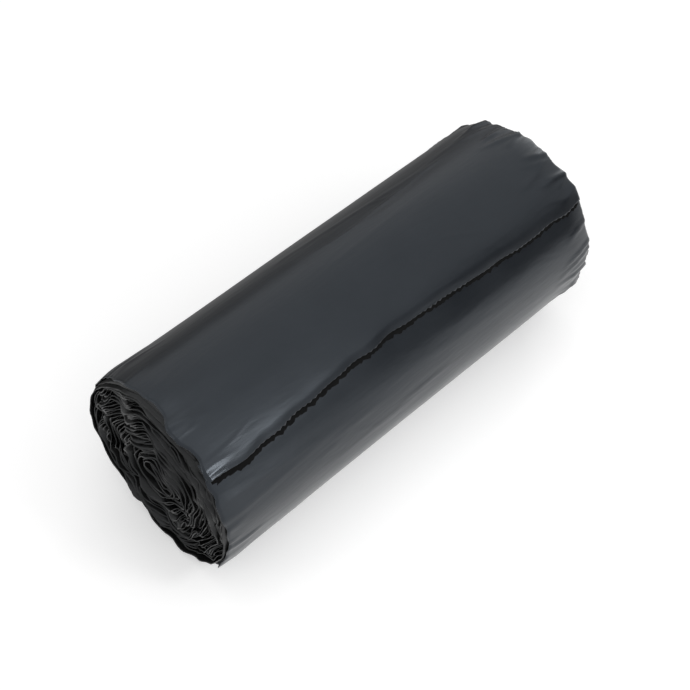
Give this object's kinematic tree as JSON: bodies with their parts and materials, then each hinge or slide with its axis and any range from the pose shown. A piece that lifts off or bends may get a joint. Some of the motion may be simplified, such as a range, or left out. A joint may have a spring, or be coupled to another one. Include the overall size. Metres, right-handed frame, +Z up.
{
  "type": "bin bag roll",
  "caption": "Roll of dark thin plastic bin bags, folded along their length and wound without a core, lying on its side with the loose end free.",
  "frame": {"origin": "middle of the flat spot on which the roll lies", "axes": "+X along the roll, +Z up, and the loose end on the upper part of the -Y side"},
  "size_m": [0.2058, 0.0808, 0.0796],
  "materials": {
    "film": "satin, finely creased"
  },
  "bodies": {
    "root": {"bag_roll": "film"}
  },
  "joints": []
}
